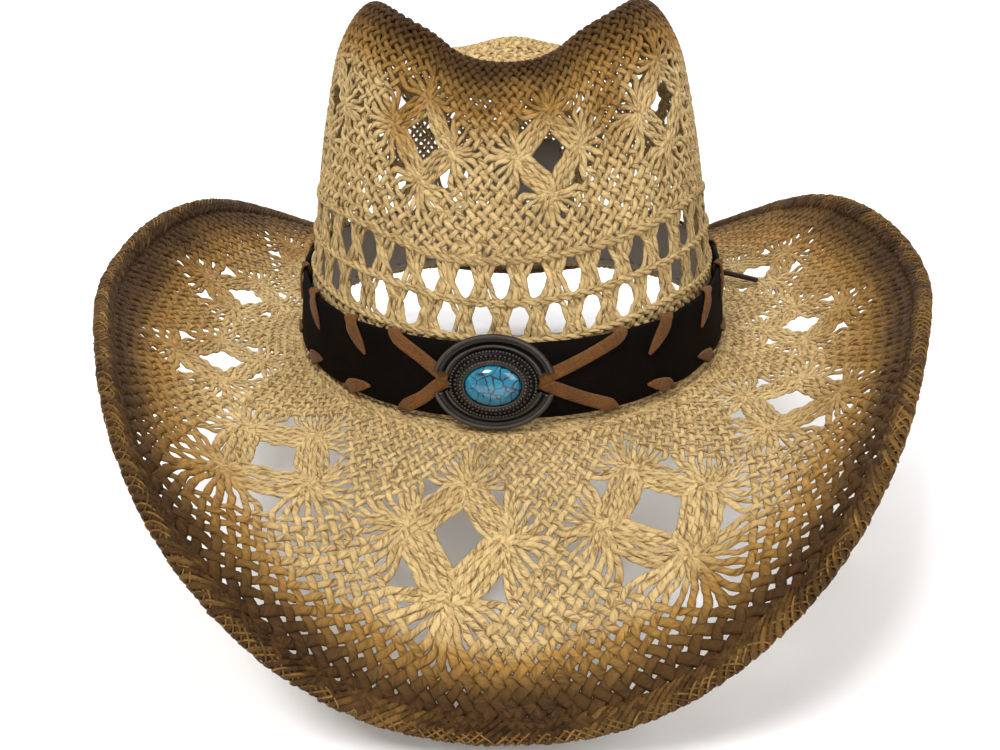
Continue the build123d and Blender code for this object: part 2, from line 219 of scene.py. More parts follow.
def stone_material():
    """Polished turquoise with a dark branching matrix."""
    mat, tree, bsdf = nodes_of("turquoise")
    warp = noise(tree, object_space(tree), 150.0, 3.0)
    bent = node(tree, "ShaderNodeVectorMath", operation="MULTIPLY_ADD")
    bent.inputs[1].default_value = grey(0.004)
    tree.links.new(warp.outputs["Color"], bent.inputs[0])
    tree.links.new(object_space(tree), bent.inputs[2])
    cells = node(tree, "ShaderNodeTexVoronoi", feature="DISTANCE_TO_EDGE")
    set_inputs(cells, Scale=230.0)
    tree.links.new(bent.outputs[0], cells.inputs["Vector"])
    lines = ramp(tree, cells.outputs["Distance"], [(0.0, grey(0)), (0.03, grey(0.15)), (0.06, grey(1))])
    gaps = ramp(tree, warp.outputs["Fac"], [(0.34, grey(1)), (0.44, grey(0))])
    cloud = noise(tree, object_space(tree), 190.0, 5.0).outputs["Fac"]
    blues = [(0.3, (0.0, 0.075, 0.15)), (0.52, (0.001, 0.15, 0.25)), (0.75, (0.01, 0.24, 0.33))]
    matrix = mix(tree, 1.0, lines, gaps, "LIGHTEN")
    tree.links.new(mix(tree, 1.0, ramp(tree, cloud, blues), matrix, "MULTIPLY"), bsdf.inputs["Base Color"])
    set_inputs(bsdf, Roughness=0.12, Coat_Weight=0.8, Coat_Roughness=0.05)
    return mat


def cloth_material(name, light, dark, fuzz_scale):
    """Ribbed elastic tape."""
    mat, tree, bsdf = nodes_of(name)
    ribs = node(tree, "ShaderNodeVectorMath", operation="MULTIPLY")
    ribs.inputs[1].default_value = (1.4, 60.0, 1.0)
    tree.links.new(node(tree, "ShaderNodeUVMap", uv_map="strand").outputs[0], ribs.inputs[0])
    wave = tree.nodes.new("ShaderNodeTexWave")
    set_inputs(wave, Scale=1.0, Distortion=0.6)
    tree.links.new(ribs.outputs[0], wave.inputs["Vector"])
    fuzz = noise(tree, object_space(tree), fuzz_scale, 3.0).outputs["Fac"]
    both = math_node(tree, "ADD", wave.outputs["Fac"], math_node(tree, "MULTIPLY", fuzz, 0.7))
    tree.links.new(ramp(tree, both, [(0.3, dark), (1.2, light)]), bsdf.inputs["Base Color"])
    set_inputs(bsdf, Roughness=0.85, Sheen_Weight=0.15)
    bump(tree, bsdf, both, 0.5, 0.0003)
    return mat


# The dark colour is both the darker tone of some strands and the painted shade in the fibre grooves.
STRAW = straw_material("straw", (0.56, 0.40, 0.18), (0.19, 0.105, 0.032), (0.034, 0.013, 0.0025))
LEATHER = hide_material("dark_leather", (0.0050, 0.0024, 0.0011), (0.0018, 0.0009, 0.0005),
                        rough=0.8, grain=900.0, depth=0.0005, sheen=0.0, spec=0.06)
SUEDE = hide_material("rust_suede", (0.175, 0.072, 0.018), (0.10, 0.038, 0.009),
                      rough=0.85, grain=1500.0, depth=0.0004, sheen=0.1, spec=0.2)
TIE = hide_material("dark_suede", (0.055, 0.022, 0.012), (0.03, 0.012, 0.008),
                    rough=0.75, grain=1200.0, depth=0.0003, sheen=0.2, spec=0.25)
METAL = metal_material("dark_bronze", (0.095, 0.08, 0.066), (0.004, 0.0032, 0.0028))
STONE = stone_material()
ELASTIC = cloth_material("elastic", (0.30, 0.25, 0.205), (0.19, 0.155, 0.125), 1300.0)
LABEL = cloth_material("label", (0.27, 0.235, 0.21), (0.22, 0.19, 0.17), 2200.0)
THREAD = hide_material("thread", (0.36, 0.29, 0.22), (0.25, 0.2, 0.15),
                       rough=0.8, grain=2500.0, depth=0.0002, sheen=0.1, spec=0.2)
WIRE = metal_material("wire", (0.6, 0.6, 0.61), (0.35, 0.35, 0.36))


# -------------------------------- meshes
def mesh_object(name, verts, quads, material, slot, body, uv=None, replaces=None, **attributes):
    """Smooth mesh from points in millimetres and quads (a repeated last corner makes a triangle)."""
    verts = np.asarray(verts, dtype=np.float64).reshape(-1, 3) * MM
    quads = np.asarray(quads, dtype=np.int64).reshape(-1, 4)
    loops = np.where(quads[:, 3] != quads[:, 2], 4, 3)
    flat = quads[np.arange(4) < loops[:, None]]
    starts = np.concatenate([[0], np.cumsum(loops)[:-1]])
    data = bpy.data.meshes.new(name)
    data.vertices.add(len(verts))
    data.vertices.foreach_set("co", verts.ravel())
    data.loops.add(len(flat))
    data.loops.foreach_set("vertex_index", flat.astype(np.int32))
    data.polygons.add(len(quads))
    data.polygons.foreach_set("loop_start", starts.astype(np.int32))
    data.update(calc_edges=True)
    data.polygons.foreach_set("use_smooth", np.full(len(quads), True))
    if uv is not None:
        layer = data.uv_layers.new(name="strand")
        layer.data.foreach_set("uv", np.asarray(uv, dtype=np.float32).reshape(-1, 2)[flat].ravel())
    for key, values in attributes.items():
        att = data.attributes.new(key, "FLOAT", "POINT")
        att.data.foreach_set("value", np.asarray(values, dtype=np.float32).ravel())
    data.materials.append(material)
    data.validate()
    obj = bpy.data.objects.new(name, data)
    bpy.context.scene.collection.objects.link(obj)
    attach(obj, body)
    if replaces:
        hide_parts(replaces)


def unit(v):
    return v / np.maximum(np.linalg.norm(v, axis=-1, keepdims=True), 1e-9)


def smooth(a, b, x):
    t = np.clip((x - a) / (b - a), 0, 1)
    return t * t * (3 - 2 * t)


def catmull(p0, p1, p2, p3, t):
    """Point between p1 and p2 on a smooth curve through four points."""
    bend = (2 * p0 - 5 * p1 + 4 * p2 - p3) * t ** 2 + (3 * p1 - p0 - 3 * p2 + p3) * t ** 3
    return 0.5 * (2 * p1 + (p2 - p0) * t + bend)


def grid(rows, columns, close_rows, close_columns):
    """Quads of a grid of points that may close on itself either way."""
    i, k = np.meshgrid(np.arange(rows if close_rows else rows - 1),
                       np.arange(columns if close_columns else columns - 1), indexing="ij")
    i2, k2 = (i + 1) % rows, (k + 1) % columns
    corners = [i * columns + k, i * columns + k2, i2 * columns + k2, i2 * columns + k]
    return np.stack(corners, -1).reshape(-1, 4)


def shell(rows, columns, closed):
    """Quads of a tube of points; an open tube is capped by quads between its opposite sides."""
    quads = grid(rows, columns, closed, True)
    if closed:
        return quads
    q = np.arange(columns // 2 - 1)
    cap = np.stack([q, q + 1, columns - 2 - q, columns - 1 - q], -1)
    return np.concatenate([quads, cap[:, ::-1], cap + (rows - 1) * columns])


def ring_cap(count, flip):
    """Quads and perhaps a triangle that close a ring of points as a fan from its first one."""
    caps = []
    for q in range(1, count - 1, 2):
        corners = [0] + list(range(q, min(q + 3, count)))
        if flip:
            corners = [0] + corners[:0:-1]
        caps.append(corners + corners[-1:] * (4 - len(corners)))
    return np.array(caps)


def sweep(paths, normals, width, thick, count=6, closed=False, power=1.0):
    """Tubes of flattened section along paths (strands, points, 3): points, quads and uv."""
    n, m = paths.shape[:2]
    run = np.roll(paths, -1, 1) - np.roll(paths, 1, 1) if closed else np.gradient(paths, axis=1)
    run = unit(run)
    side = unit(np.cross(normals, run))
    up = np.cross(run, side)
    share = np.arange(count) / count
    c, s = np.cos(TURN * share), np.sin(TURN * share)
    c, s = np.sign(c) * np.abs(c) ** power, np.sign(s) * np.abs(s) ** power
    width, thick = np.broadcast_to(width, (n, m)), np.broadcast_to(thick, (n, m))
    v = (paths[:, :, None] + side[:, :, None] * (width[:, :, None] * c / 2)[..., None]
         + up[:, :, None] * (thick[:, :, None] * s / 2)[..., None])
    step = np.linalg.norm(np.diff(paths, axis=1), axis=2)
    length = np.concatenate([np.zeros((n, 1)), np.cumsum(step, 1)], 1)
    uv = np.stack(np.broadcast_arrays(length[:, :, None], share[None, None]), -1)
    tube = grid(m, count, closed, True)
    if not closed:
        tube = np.concatenate([tube, ring_cap(count, True), ring_cap(count, False) + (m - 1) * count])
    return v, (tube + np.arange(n)[:, None, None] * m * count).reshape(-1, 4), uv


# -------------------------------- the shape of the hat, as in the CAD
OPENING = (87.0, 103.0, 103.0, 2.15)
FRONT_DIP, BACK_DIP = 4.0, 9.5
CLOTH = 2.2
CREST_HEIGHTS = (116, 121, 132.5, 131.5, 123, 115, 108.5, 106, 109.5)
TOP_FLOOR = 96.0
PINCH_ANGLE, PINCH_SPREAD = 28.0, 9.5
# rise, half width, front reach, back reach, squareness, pinch depth, sink
CROWN_RINGS = (
    (0.00, 87.0, 103.0, 103.0, 2.15, 0.0, 0.00),
    (0.22, 84.0, 100.0, 101.5, 2.15, 0.0, 0.00),
    (0.45, 79.5, 95.0, 98.5, 2.2, 1.0, 0.00),
    (0.70, 73.5, 87.5, 93.0, 2.3, 4.5, 0.00),
    (0.90, 66.0, 79.5, 84.0, 2.4, 7.5, 0.00),
    (1.00, 54.0, 71.0, 73.0, 2.4, 6.0, 0.00),
    (1.00, 43.0, 61.0, 62.0, 2.3, 3.0, 0.35),
    (1.00, 26.0, 40.0, 41.0, 2.2, 0.0, 0.80),
    (1.00, 0.0, 0.0, 0.0, 2.2, 0.0, 1.00),
)
TOP_LEVEL = len(CROWN_RINGS) - 1
BRIM_WIDTHS = (108, 106, 91, 89, 89, 96, 92)
BRIM_START_ANGLES = (-30, -12, -10)
BRIM_END_ANGLES = (-46, 24, 64, 60, 52, -2, -30)


def off_front(angle):
    """Degrees from the front, the same on both sides."""
    return np.degrees(np.arccos(np.clip(np.cos(angle), -1, 1)))


def around(values, angle):
    """Smooth value round the hat through values at equal steps from front to back, the same on both sides."""
    last = len(values) - 1
    weight = np.where(np.isin(np.arange(last + 1), (0, last)), 0.5, 1.0)
    total = np.zeros_like(angle)
    for order in range(last + 1):
        share = np.sum(weight * np.array(values) * np.cos(np.pi * order * np.arange(last + 1) / last))
        total = total + share * 2 / last * np.cos(order * angle) * weight[order]
    return total


def brim_line(angle):
    """Height of the fold between crown and brim."""
    return -np.where(np.cos(angle) > 0, FRONT_DIP, BACK_DIP) * np.cos(angle) ** 2


def oval(angle, half_width, front, back, squareness):
    side, along = np.sin(angle), -np.cos(angle)
    scale = (np.abs(side) ** squareness + np.abs(along) ** squareness) ** (-1 / squareness)
    return half_width * side * scale, (front + back) / 2 * along * scale + (back - front) / 2


def crown_ring(k, angle):
    rise, half_width, front, back, squareness, pinch, sink = CROWN_RINGS[k]
    x, y = oval(angle, half_width, front, back, squareness)
    dent = pinch * np.exp(-((off_front(angle) - PINCH_ANGLE) / PINCH_SPREAD) ** 2)
    reach = np.maximum(np.hypot(x, y), 1.0)
    z = brim_line(angle) * (1 - rise) + around(CREST_HEIGHTS, angle) * rise
    return np.stack([x * (1 - dent / reach), y * (1 - dent / reach), z * (1 - sink) + TOP_FLOOR * sink], -1)


def crown_points(angle, levels):
    """Points of the crown; a level counts the rings of CROWN_RINGS."""
    rings = [crown_ring(k, angle) for k in range(TOP_LEVEL + 1)]
    rings = [rings[0] * 2 - rings[1]] + rings + [crown_ring(TOP_LEVEL - 1, angle + np.pi)]
    out = []
    for level in levels:
        k = min(int(level), TOP_LEVEL - 1)
        out.append(catmull(*rings[k:k + 4], level - k))
    return np.stack(out, 1)


def brim_points(angle, shares):
    """Points of the brim; a share runs from the fold (0) to the edge (1)."""
    x, y = oval(angle, *OPENING)
    x1, y1 = oval(angle + 0.001, *OPENING)
    x2, y2 = oval(angle - 0.001, *OPENING)
    along = unit(np.stack([x1 - x2, y1 - y2], -1))
    start = np.radians(around(BRIM_START_ANGLES, angle))
    turn = np.radians(around(BRIM_END_ANGLES, angle)) - start
    radius = around(BRIM_WIDTHS, angle) / turn
    out = []
    for u in shares:
        reach = radius * (np.sin(start + turn * u) - np.sin(start))
        up = radius * (np.cos(start) - np.cos(start + turn * u))
        out.append(np.stack([x + along[:, 1] * reach, y - along[:, 0] * reach, brim_line(angle) + up], -1))
    return np.stack(out, 1)


class Skin:
    """Table of a surface over angle and level, with its outward normal and a square strand coordinate w."""

    def __init__(self, points, levels, flip):
        self.levels, self.count = levels, len(points)
        cross = np.cross(np.roll(points, -1, 0) - np.roll(points, 1, 0), np.gradient(points, axis=1))
        normals = unit(cross) * (-1 if flip else 1)
        normals[np.linalg.norm(cross, axis=-1) < 1e-6] = (0, 0, 1)
        self.points = np.concatenate([points, points[:1]])
        self.normals = np.concatenate([normals, normals[:1]])
        self.radius = np.linalg.norm(np.roll(points, -1, 0) - points, axis=2).sum(0) / TURN
        rise = np.linalg.norm(np.diff(points, axis=1), axis=2).mean(0)
        middle = np.maximum((self.radius[1:] + self.radius[:-1]) / 2, 1.0)
        self.w = np.concatenate([[0], np.cumsum(rise / middle)])

    def level_at(self, w):
        return np.interp(w, self.w, self.levels)

    def radius_at(self, level):
        return np.interp(level, self.levels, self.radius)

    def steps_to(self, level, strands):
        """Strand coordinate of a level, in steps of one strand."""
        return float(np.interp(level, self.levels, self.w)) / (TURN / strands)

    def __call__(self, angle, level, offset=0.0):
        a = (np.asarray(angle) / TURN % 1.0) * self.count
        i = np.minimum(a.astype(int), self.count - 1)
        fa = (a - i)[..., None]
        b = (np.asarray(level) - self.levels[0]) / (self.levels[1] - self.levels[0])
        b = np.clip(b, 0, len(self.levels) - 1.001)
        j = b.astype(int)
        fb = (b - j)[..., None]
        corners = ((i, j, (1 - fa) * (1 - fb)), (i + 1, j, fa * (1 - fb)),
                   (i, j + 1, (1 - fa) * fb), (i + 1, j + 1, fa * fb))
        point, normal = (sum(table[row, column] * share for row, column, share in corners)
                         for table in (self.points, self.normals))
        normal = unit(normal)
        return point + normal * np.asarray(offset)[..., None], normal


ANGLE_STEPS = 360
ANGLES = TURN * np.arange(ANGLE_STEPS) / ANGLE_STEPS
CROWN_LEVELS = np.arange(0, TOP_LEVEL + 0.001, 0.05)
BRIM_LEVELS = np.arange(0, 1.0001, 0.0125)
CROWN = Skin(crown_points(ANGLES, CROWN_LEVELS), CROWN_LEVELS, False)
BRIM = Skin(brim_points(ANGLES, BRIM_LEVELS), BRIM_LEVELS, True)
RING_RISE = crown_ring(1, ANGLES)[:, 2] - brim_line(ANGLES)


def wall(angle, height, offset=0.0):
    """Point and normal on the crown wall a height above the brim line."""
    angle, height, offset = np.broadcast_arrays(*(np.asarray(v, float) for v in (angle, height, offset)))
    rise = np.interp(angle % TURN, np.append(ANGLES, TURN), np.append(RING_RISE, RING_RISE[0]))
    return CROWN(angle, height / rise, offset)


# -------------------------------- tie tails, the only free cords
TIE_DIAMETER = 2.6
RIGHT_ROUTE = ((7.1, 108.99, 4.77), (34.34, 109.37, -7.27), (69.77, 88.06, -4.0), (95.33, 53.98, 2.12),
               (113.76, 33.4, 2.83))
LEFT_ROUTE = ((-7.1, 108.99, 4.77), (-34.34, 109.37, -7.27), (-68.36, 92.26, -4.58), (-96.35, 73.57, -1.01))


def tie_tail(name, route):
    curve = bpy.data.curves.new(name, "CURVE")
    curve.dimensions = "3D"
    spline = curve.splines.new("NURBS")
    spline.points.add(len(route) - 1)
    for point, place in zip(spline.points, route):
        point.co = (*(c * MM for c in place), 1)
    spline.order_u = 3
    spline.use_endpoint_u = True
    spline.resolution_u = 24
    curve.bevel_depth = TIE_DIAMETER / 2 * MM
    curve.bevel_resolution = 4
    curve.use_fill_caps = True
    curve.materials.append(TIE)
    obj = bpy.data.objects.new(name, curve)
    bpy.context.scene.collection.objects.link(obj)
    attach(obj, "hatband")
    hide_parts(name)


tie_tail("tie_tail_right", RIGHT_ROUTE)
tie_tail("tie_tail_left", LEFT_ROUTE)

# -------------------------------- woven straw
# Two families of strands, a and b, cross the hat diagonally. Places in the weave are counted in strand
# steps: th round the hat and w up the crown or out along the brim.
CROWN_STRANDS, BRIM_STRANDS, TOP_STRANDS = 120, 192, 60
WEAVE_LIFT = 0.55
SHORT_FADE, LONG_FADE = (0.6, 0.9), (0.75, 1.7)


class Rosettes:
    """Lace clusters: strands drawn into bundles that cross at four nodes."""

    def __init__(self, period, middle, petal, crossing, fan):
        self.period = period
        self.middle = round(middle - 0.5) + 0.5
        self.petal, self.crossing, self.fan = petal, crossing, fan

    def __call__(self, sign, th, w):
        """Shift towards the bundle, shift round the hat, and how tightly bundled."""
        half, line = self.period / 2, self.period / 4
        across = (th + half) % self.period - half
        di, dj = across + sign * (w - self.middle), across - sign * (w - self.middle)
        target = np.where(di < 0, -line, line)
        inside = (np.abs(di) < half) * (1 - smooth(line + 0.9, line + self.fan, np.abs(dj)))
        near = np.exp(-((np.abs(dj) - line) / 0.85) ** 2)
        pull = inside * (self.petal + (self.crossing - self.petal) * near)
        return (target - di) * pull, 0.0, inside


class Crosses:
    """A row of X openings: three strands of each family cross steeply at every X."""

    def __init__(self, middle, shift, fade_above):
        self.middle, self.shift, self.fade_above = middle, shift, fade_above

    def __call__(self, sign, th, w):
        d = w - self.middle
        di = (th + sign * w - self.shift - sign * self.middle + 1.5) % 3 - 1.5
        hold = (1 - smooth(*SHORT_FADE, -d)) * (1 - smooth(*self.fade_above, d))
        gather = 0.50 + 0.08 * np.exp(-(d / 0.4) ** 2)
        return 0.0, hold * (sign * np.clip(d, -0.75, 0.75) * 0.36 - di * gather), 0.5 * hold


def weave(name, skin, sign, which, span, turn, features, samples, widths, seed, strands, stain, replaces,
          close=None, place=None):
    """Strands of one family over and under the other; widths are share of pitch, least, most, bundling."""
    step = TURN / strands
    count = int((span[1] - span[0]) * 2 * samples) + 1
    w = np.linspace(*span, count)[None]
    th = which[:, None] - sign * w
    local = np.random.default_rng(seed)
    wob = local.normal(0, 1, (len(which), 6))
    slide = 0.08 * (np.sin(w * 0.9 + wob[:, :1] * 3) + np.sin(w * 2.3 + wob[:, 1:2] * 3))
    slide = slide + 0.04 * np.sin(w * 5.1 + wob[:, 4:5] * 5)
    round_way, bundle = np.zeros_like(th), np.zeros_like(th)
    for feature in features:
        own, side, inside = feature(sign, th, w)
        slide, round_way, bundle = slide + own, round_way + side, np.maximum(bundle, inside)
    angle = turn + (th + slide / 2 + round_way) * step
    deep = w + sign * slide / 2
    real = (np.interp(deep, *place) if place else deep) * step
    level = skin.level_at(np.clip(real, skin.w[0], skin.w[-1]))
    pitch = skin.radius_at(level) * step / math.sqrt(2)
    share, least, most, bundling = widths
    wide = np.clip(pitch * (share + (close(level) if close else 0.0)), least, most)
    wide = wide * (1 + 0.11 * wob[:, 2:3]) * (1 - bundling * bundle)
    wide = wide * (1 + 0.07 * np.sin(w * 9 + wob[:, 3:4] * 5) + 0.05 * np.sin(w * 21 + wob[:, 5:6] * 5))
    over = sign * np.cos(TURN * th) * WEAVE_LIFT * (1 - 0.3 * bundle)
    centre, normal = skin(angle, level, -CLOTH / 2 + over + 0.14 * wob[:, :1] * bundle)
    v, quads, uv = sweep(centre, normal, wide, wide * 0.1 + 0.9, 6, power=0.8)
    mesh_object(name, v, quads, STRAW, "straw", "hat", uv, replaces,
                tone=np.repeat(local.random(len(which)), count * 6), stain=np.repeat(stain(angle, level), 6))


def weave_all(name, skin, strands, groups, seed, **pattern):
    """Both families of a weave, each in one or more objects."""
    for family, sign in (("a", 1), ("b", -1)):
        for group in range(groups):
            which = np.arange(strands // groups) + group * strands // groups
            label = name + family + (str(group) if groups > 1 else "")
            weave(label, skin, sign, which, seed=seed + group + ord(family), strands=strands, **pattern)


def crown_stain(angle, level):
    off = off_front(angle)
    crest = smooth(3.2, 4.8, level) * (1 - smooth(105, 150, off))
    valley = smooth(3.0, 4.2, level) * np.exp(-(off / 38) ** 2) * 0.72
    groove = np.exp(-((off - PINCH_ANGLE - 3) / 7) ** 2) * smooth(2.2, 3.6, level) * 0.5
    return np.clip(np.maximum(np.maximum(crest, valley), groove), 0, 1) * 0.95


def top_stain(angle, level):
    return crown_stain(angle, level) * 0.75


def brim_stain(angle, level):
    off = off_front(angle)
    front = np.exp(-(off / 42) ** 2)
    wash = smooth(0.26 + 0.40 * front, 0.60 + 0.24 * front, level) * 0.38
    rim = smooth(0.58 + 0.14 * front, 0.93 + 0.02 * front, level) * (1 - 0.26 * smooth(85, 125, off))
    return np.clip(wash * (1 - rim) + rim, 0, 1)


def brim_close(level):
    """Extra width of the strands by the edge and by the fold."""
    return 0.26 * smooth(0.76, 0.97, level) + 0.3 * (1 - smooth(0.0, 0.12, level))


brim_lace = Rosettes(16, BRIM.steps_to(0.425, BRIM_STRANDS), 0.54, 0.85, 4.1)
weave_all("brim_strands_", BRIM, BRIM_STRANDS, 4, 21, span=(0.0, BRIM.steps_to(0.985, BRIM_STRANDS)),
          turn=math.radians(-7.5), features=[brim_lace], samples=4, widths=(0.74, 1.6, 4.6, 0.10),
          stain=brim_stain, replaces="woven_brim", close=brim_close)

# The crown wall is stretched so that its rows of X openings stand between three ropes.
ROPE_LEVELS = (2.1, 1.61, 1.12)
upper, middle, lower = (CROWN.steps_to(level, CROWN_STRANDS) for level in ROPE_LEVELS)
first_row = round(upper - 0.75)
row_top = first_row + 0.75
CROWN_PLACE = ([row_top - 3 - lower, row_top - 3, row_top - 1.5, row_top, row_top + 60],
               [0.0, lower, middle, upper, upper + 60])
crown_lace = Rosettes(12, row_top + CROWN.steps_to(3.24, CROWN_STRANDS) - upper, 0.60, 0.80, 2.7)
crosses = [Crosses(first_row, 0.0, LONG_FADE), Crosses(first_row - 1.5, 1.5, SHORT_FADE)]
weave_all("crown_strands_", CROWN, CROWN_STRANDS, 2, 33,
          span=(CROWN_PLACE[0][0], row_top + CROWN.steps_to(5.75, CROWN_STRANDS) - upper),
          turn=math.radians(12.0), features=crosses + [crown_lace], samples=4, widths=(0.66, 1.75, 2.6, 0.14),
          stain=crown_stain, replaces="woven_crown", place=CROWN_PLACE)

# The floor of the crease has fewer strands.
weave_all("top_strands_", CROWN, TOP_STRANDS, 1, 51,
          span=(CROWN.steps_to(5.4, TOP_STRANDS), CROWN.steps_to(7.6, TOP_STRANDS)), turn=0.0, features=[],
          samples=3, widths=(0.8, 1.4, 2.6, 0.2), stain=top_stain, replaces="woven_crown")


def ring_rope(skin, level, offset, radius, thick, twists, points=900, wander=0.0, phase=0.0):
    """Paths of the two plies of a rope that lies round the hat, with their normals and thickness."""
    a = np.linspace(0, TURN, points, endpoint=False)
    centre, normal = skin(a, level + wander * np.sin(7 * a + 3 * level), np.full_like(a, offset))
    run = unit(np.roll(centre, -1, 0) - np.roll(centre, 1, 0))
    side = unit(np.cross(normal, run))
    plies = []
    for ply in (0, np.pi):
        spin = twists * a + ply + phase
        swing = side * (np.cos(spin) * radius)[:, None]
        plies.append(centre + swing + normal * (np.sin(spin) * radius * 0.7)[:, None])
    return np.stack(plies), np.stack([normal, normal]), thick


def rope_object(name, ropes, stain, seed):
    """One mesh of several ropes."""
    parts, tones, base = [], [], 0
    local = np.random.default_rng(seed)
    for paths, normals, thick in ropes:
        v, quads, uv = sweep(paths, normals, thick, thick * 0.85, closed=True)
        parts.append((v.reshape(-1, 3), quads + base, uv.reshape(-1, 2)))
        tones.append(np.repeat(local.random(len(paths)), v.shape[1] * v.shape[2]))
        base += v.size // 3
    v, quads, uv = (np.concatenate(column) for column in zip(*parts))
    mesh_object(name, v, quads, STRAW, "straw", "hat", uv,
                tone=np.concatenate(tones), stain=np.full(len(v), stain))


FOLD_ROPES = ((CROWN, 0.03), (CROWN, 0.16), (BRIM, 0.012), (BRIM, 0.042))
ropes = [ring_rope(CROWN, level, -0.45, 0.78, 1.75, 66, wander=0.02, phase=k)
         for k, level in enumerate(ROPE_LEVELS)]
ropes += [ring_rope(skin, level, -0.6, 0.6, 1.7, 80, phase=level) for skin, level in FOLD_ROPES]
rope_object("crown_ropes", ropes, 0.0, 5)
centre_ropes = [ring_rope(CROWN, level, -1.0, 0.45, 1.5, max(4, round(60 * (TOP_LEVEL - level))), points=240)
                for level in np.arange(7.5, 7.97, 0.058)]
rope_object("crown_centre", centre_ropes, 0.45, 6)

# -------------------------------- bound edge of the brim, with its wire
edge_centre, edge_up = BRIM(ANGLES, np.ones_like(ANGLES), np.full_like(ANGLES, -CLOTH / 2))
edge_steps = np.linalg.norm(np.roll(edge_centre, -1, 0) - edge_centre, axis=1)
edge_along = np.concatenate([[0], np.cumsum(edge_steps)])
EDGE_TURNS, TURN_POINTS, EDGE_SIDES = 400, 14, 6
WIRE_POINTS, WIRE_DIAMETER = 720, 1.2


def edge_at(share):
    """Centre, upward and outward directions at a share of the way round the brim's edge."""
    t = np.interp((share % 1.0) * edge_along[-1], edge_along, np.arange(ANGLE_STEPS + 1))
    i = t.astype(int) % ANGLE_STEPS
    after = (i + 1) % ANGLE_STEPS
    f = (t - t.astype(int))[..., None]
    centre = edge_centre[i] * (1 - f) + edge_centre[after] * f
    up = unit(edge_up[i] * (1 - f) + edge_up[after] * f)
    out = unit(np.cross(unit(edge_centre[after] - edge_centre[i]), up))
    return centre, up, out


def edge_coil(name, seed, radius_up, radius_out, width, deep, lean, shift, push, stain):
    """Overcast stitches wound round the edge, each turn a little different."""
    s = np.arange(EDGE_TURNS * TURN_POINTS) / (EDGE_TURNS * TURN_POINTS)
    spin = TURN * EDGE_TURNS * s + shift * math.pi
    centre, up, out = edge_at(s + lean * np.cos(spin) / EDGE_TURNS)
    rise, reach = np.sin(spin)[:, None], np.cos(spin)[:, None]
    path = centre + up * rise * radius_up + out * (reach * radius_out + push)
    normal = unit(up * rise + out * reach)
    local = np.random.default_rng(seed)
    change, shove, tone, fade = (np.repeat(local.random(EDGE_TURNS), TURN_POINTS) for _ in range(4))
    jitter = 1 + 0.34 * (change - 0.5) + 0.1 * np.sin(np.arange(len(s)) * 1.7)
    path = path + normal * (0.7 * (shove - 0.5))[:, None]
    v, quads, uv = sweep(path[None], normal[None], width * jitter, deep * jitter, EDGE_SIDES, True, 0.85)
    mesh_object(name, v, quads, STRAW, "stained_straw", "hat", uv, "edge_braid",
                tone=np.repeat(tone, EDGE_SIDES),
                stain=np.repeat(np.clip(stain + 0.25 * (fade - 0.5), 0, 1), EDGE_SIDES))


edge_coil("edge_under", 60, 1.8, 3.4, 2.7, 1.4, lean=1.5, shift=0.0, push=-1.8, stain=1.0)
edge_coil("edge_over", 61, 2.1, 3.6, 1.9, 1.2, lean=-1.5, shift=0.6, push=-1.6, stain=0.9)
edge_coil("edge_thread", 62, 2.2, 2.1, 0.6, 0.6, lean=-0.9, shift=0.2, push=0.05, stain=0.56)
edge_coil("edge_thread_back", 63, 2.2, 2.1, 0.6, 0.5, lean=1.6, shift=1.1, push=0.0, stain=0.66)

wire_path, wire_up, _ = edge_at(np.arange(WIRE_POINTS) / WIRE_POINTS)
v, quads, uv = sweep(wire_path[None], wire_up[None], WIRE_DIAMETER, WIRE_DIAMETER, 8, closed=True)
mesh_object("edge_wire_visual", v, quads, WIRE, "wire", "hat", uv, "edge_wire")


# -------------------------------- sweatband, stitching, label
def wall_section(name, outline, angles, material, slot, body, replaces, closed=True, relief=None):
    """Section carried round the crown wall: outline is a closed list of (offset, height)."""
    outline = np.array(outline, float)
    n, m = len(angles), len(outline)
    a = np.repeat(angles[:, None], m, 1)
    off, high = np.repeat(outline[None, :, 0], n, 0), np.repeat(outline[None, :, 1], n, 0)
    if relief is not None:
        off, high = relief(a, off, high)
    points, _ = wall(a, high, off)
    run = np.concatenate([[0], np.cumsum(np.linalg.norm(np.diff(points[:, 0], axis=0), axis=1))])
    uv = np.stack(np.broadcast_arrays(run[:, None], np.linspace(0, 1, m)[None]), -1)
    mesh_object(name, points, shell(n, m, closed), material, slot, body, uv, replaces)


FACE_OUT = -CLOTH - 0.1
FACE_IN = FACE_OUT - 1.2
SWEAT_OUTLINE = [
    (FACE_OUT, 1.0), (FACE_OUT, 11), (FACE_OUT, 21), (FACE_OUT, 30.6), (FACE_OUT - 0.3, 31.0),
    (FACE_IN + 0.3, 31.0), (FACE_IN, 30.6), (FACE_IN, 27), (FACE_IN - 0.12, 25), (FACE_IN, 23), (FACE_IN, 14),
    (FACE_IN, 6), (FACE_IN - 0.12, 5), (FACE_IN, 4), (FACE_IN, 1.2), (FACE_IN + 0.3, 1.0)]
FINE_ANGLES = TURN * np.arange(540) / 540
wall_section("sweatband_visual", SWEAT_OUTLINE, FINE_ANGLES, ELASTIC, "elastic", "hat", "sweatband")

STITCH_COUNT, STITCH_HALF_TURN, STITCH_HEIGHT = 90, 0.019, 4.0
along = np.linspace(-1, 1, 9)
stitch_angles = (TURN * np.arange(STITCH_COUNT) / STITCH_COUNT)[:, None] + STITCH_HALF_TURN * along
paths, normals = wall(stitch_angles, STITCH_HEIGHT, FACE_IN - 0.35 - 0.25 * (1 - along ** 2))
taper = np.sqrt(np.clip(1 - along ** 4, 0.05, 1))
v, quads, uv = sweep(paths, normals, 0.62 * taper, 0.6 * taper)
mesh_object("sweatband_stitches", v, quads, THREAD, "thread", "hat", uv, "sweatband_stitching")

